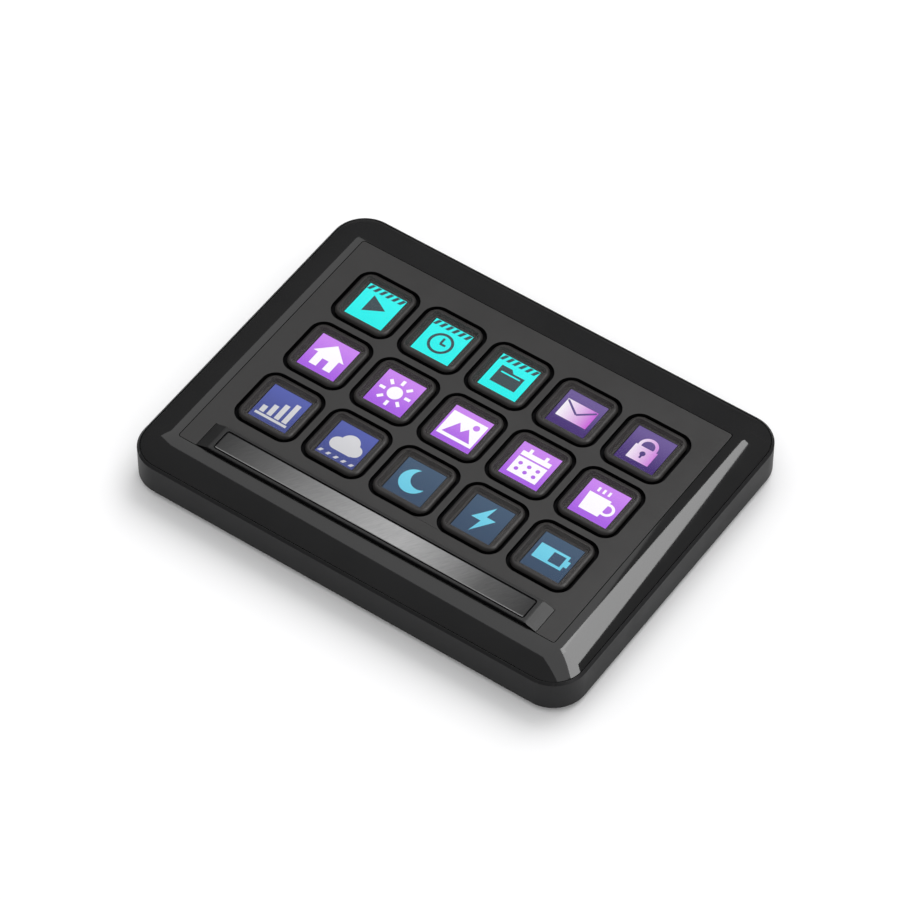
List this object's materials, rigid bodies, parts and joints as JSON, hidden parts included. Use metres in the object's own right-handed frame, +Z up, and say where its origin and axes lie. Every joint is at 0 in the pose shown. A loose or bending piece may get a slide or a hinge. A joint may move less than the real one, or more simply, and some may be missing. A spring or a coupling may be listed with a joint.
{
  "type": "macro keypad",
  "caption": "Flat desk keypad with sprung square picture keys in a grid, a raised bar along the front and a convex shoulder all round.",
  "frame": {"origin": "middle of the footprint, on the plane that the rubber feet stand on", "axes": "+X along the rows of keys to the user's right, +Y away from the user towards the socket, +Z up out of the key faces"},
  "size_m": [0.124, 0.0934, 0.0138],
  "materials": {
    "body_plastic": "fine-grained matte black",
    "shoulder_plastic": "satin-gloss black",
    "face_plastic": "satin black",
    "nameplate_metal": "dark brushed",
    "silicone": "matte",
    "board": "solder mask",
    "chip": "moulded",
    "socket_metal": "stamped",
    "screw_steel": "blackened",
    "foot_rubber": "matte",
    "cap_clear": "clear, smoky, polished",
    "display": "display module with a lit picture"
  },
  "bodies": {
    "housing": {"base_tray": "body_plastic", "upper_housing": "shoulder_plastic", "faceplate": "face_plastic", "front_bar": "face_plastic", "nameplate": "nameplate_metal", "key_mat": "silicone", "main_board": "board", "board_chips": "chip", "back_socket": "socket_metal", "housing_screws": "screw_steel", "rubber_feet": "foot_rubber"},
    "key_r1_c1": {"key_cap_r1_c1": "cap_clear", "key_display_r1_c1": "display"},
    "key_r1_c2": {"key_cap_r1_c2": "cap_clear", "key_display_r1_c2": "display"},
    "key_r1_c3": {"key_cap_r1_c3": "cap_clear", "key_display_r1_c3": "display"},
    "key_r1_c4": {"key_cap_r1_c4": "cap_clear", "key_display_r1_c4": "display"},
    "key_r1_c5": {"key_cap_r1_c5": "cap_clear", "key_display_r1_c5": "display"},
    "key_r2_c1": {"key_cap_r2_c1": "cap_clear", "key_display_r2_c1": "display"},
    "key_r2_c2": {"key_cap_r2_c2": "cap_clear", "key_display_r2_c2": "display"},
    "key_r2_c3": {"key_cap_r2_c3": "cap_clear", "key_display_r2_c3": "display"},
    "key_r2_c4": {"key_cap_r2_c4": "cap_clear", "key_display_r2_c4": "display"},
    "key_r2_c5": {"key_cap_r2_c5": "cap_clear", "key_display_r2_c5": "display"},
    "key_r3_c1": {"key_cap_r3_c1": "cap_clear", "key_display_r3_c1": "display"},
    "key_r3_c2": {"key_cap_r3_c2": "cap_clear", "key_display_r3_c2": "display"},
    "key_r3_c3": {"key_cap_r3_c3": "cap_clear", "key_display_r3_c3": "display"},
    "key_r3_c4": {"key_cap_r3_c4": "cap_clear", "key_display_r3_c4": "display"},
    "key_r3_c5": {"key_cap_r3_c5": "cap_clear", "key_display_r3_c5": "display"}
  },
  "joints": [
    {"name": "press_r1_c1", "type": "slide", "parent": "housing", "child": "key_r1_c1", "axis": [0, 0, -1], "range_m": [0, 0.001], "stiffness_N_per_m": 300, "springref_m": -0.0008, "deforming": ["key_mat"]},
    {"name": "press_r1_c2", "type": "slide", "parent": "housing", "child": "key_r1_c2", "axis": [0, 0, -1], "range_m": [0, 0.001], "stiffness_N_per_m": 300, "springref_m": -0.0008, "deforming": ["key_mat"]},
    {"name": "press_r1_c3", "type": "slide", "parent": "housing", "child": "key_r1_c3", "axis": [0, 0, -1], "range_m": [0, 0.001], "stiffness_N_per_m": 300, "springref_m": -0.0008, "deforming": ["key_mat"]},
    {"name": "press_r1_c4", "type": "slide", "parent": "housing", "child": "key_r1_c4", "axis": [0, 0, -1], "range_m": [0, 0.001], "stiffness_N_per_m": 300, "springref_m": -0.0008, "deforming": ["key_mat"]},
    {"name": "press_r1_c5", "type": "slide", "parent": "housing", "child": "key_r1_c5", "axis": [0, 0, -1], "range_m": [0, 0.001], "stiffness_N_per_m": 300, "springref_m": -0.0008, "deforming": ["key_mat"]},
    {"name": "press_r2_c1", "type": "slide", "parent": "housing", "child": "key_r2_c1", "axis": [0, 0, -1], "range_m": [0, 0.001], "stiffness_N_per_m": 300, "springref_m": -0.0008, "deforming": ["key_mat"]},
    {"name": "press_r2_c2", "type": "slide", "parent": "housing", "child": "key_r2_c2", "axis": [0, 0, -1], "range_m": [0, 0.001], "stiffness_N_per_m": 300, "springref_m": -0.0008, "deforming": ["key_mat"]},
    {"name": "press_r2_c3", "type": "slide", "parent": "housing", "child": "key_r2_c3", "axis": [0, 0, -1], "range_m": [0, 0.001], "stiffness_N_per_m": 300, "springref_m": -0.0008, "deforming": ["key_mat"]},
    {"name": "press_r2_c4", "type": "slide", "parent": "housing", "child": "key_r2_c4", "axis": [0, 0, -1], "range_m": [0, 0.001], "stiffness_N_per_m": 300, "springref_m": -0.0008, "deforming": ["key_mat"]},
    {"name": "press_r2_c5", "type": "slide", "parent": "housing", "child": "key_r2_c5", "axis": [0, 0, -1], "range_m": [0, 0.001], "stiffness_N_per_m": 300, "springref_m": -0.0008, "deforming": ["key_mat"]},
    {"name": "press_r3_c1", "type": "slide", "parent": "housing", "child": "key_r3_c1", "axis": [0, 0, -1], "range_m": [0, 0.001], "stiffness_N_per_m": 300, "springref_m": -0.0008, "deforming": ["key_mat"]},
    {"name": "press_r3_c2", "type": "slide", "parent": "housing", "child": "key_r3_c2", "axis": [0, 0, -1], "range_m": [0, 0.001], "stiffness_N_per_m": 300, "springref_m": -0.0008, "deforming": ["key_mat"]},
    {"name": "press_r3_c3", "type": "slide", "parent": "housing", "child": "key_r3_c3", "axis": [0, 0, -1], "range_m": [0, 0.001], "stiffness_N_per_m": 300, "springref_m": -0.0008, "deforming": ["key_mat"]},
    {"name": "press_r3_c4", "type": "slide", "parent": "housing", "child": "key_r3_c4", "axis": [0, 0, -1], "range_m": [0, 0.001], "stiffness_N_per_m": 300, "springref_m": -0.0008, "deforming": ["key_mat"]},
    {"name": "press_r3_c5", "type": "slide", "parent": "housing", "child": "key_r3_c5", "axis": [0, 0, -1], "range_m": [0, 0.001], "stiffness_N_per_m": 300, "springref_m": -0.0008, "deforming": ["key_mat"]}
  ]
}
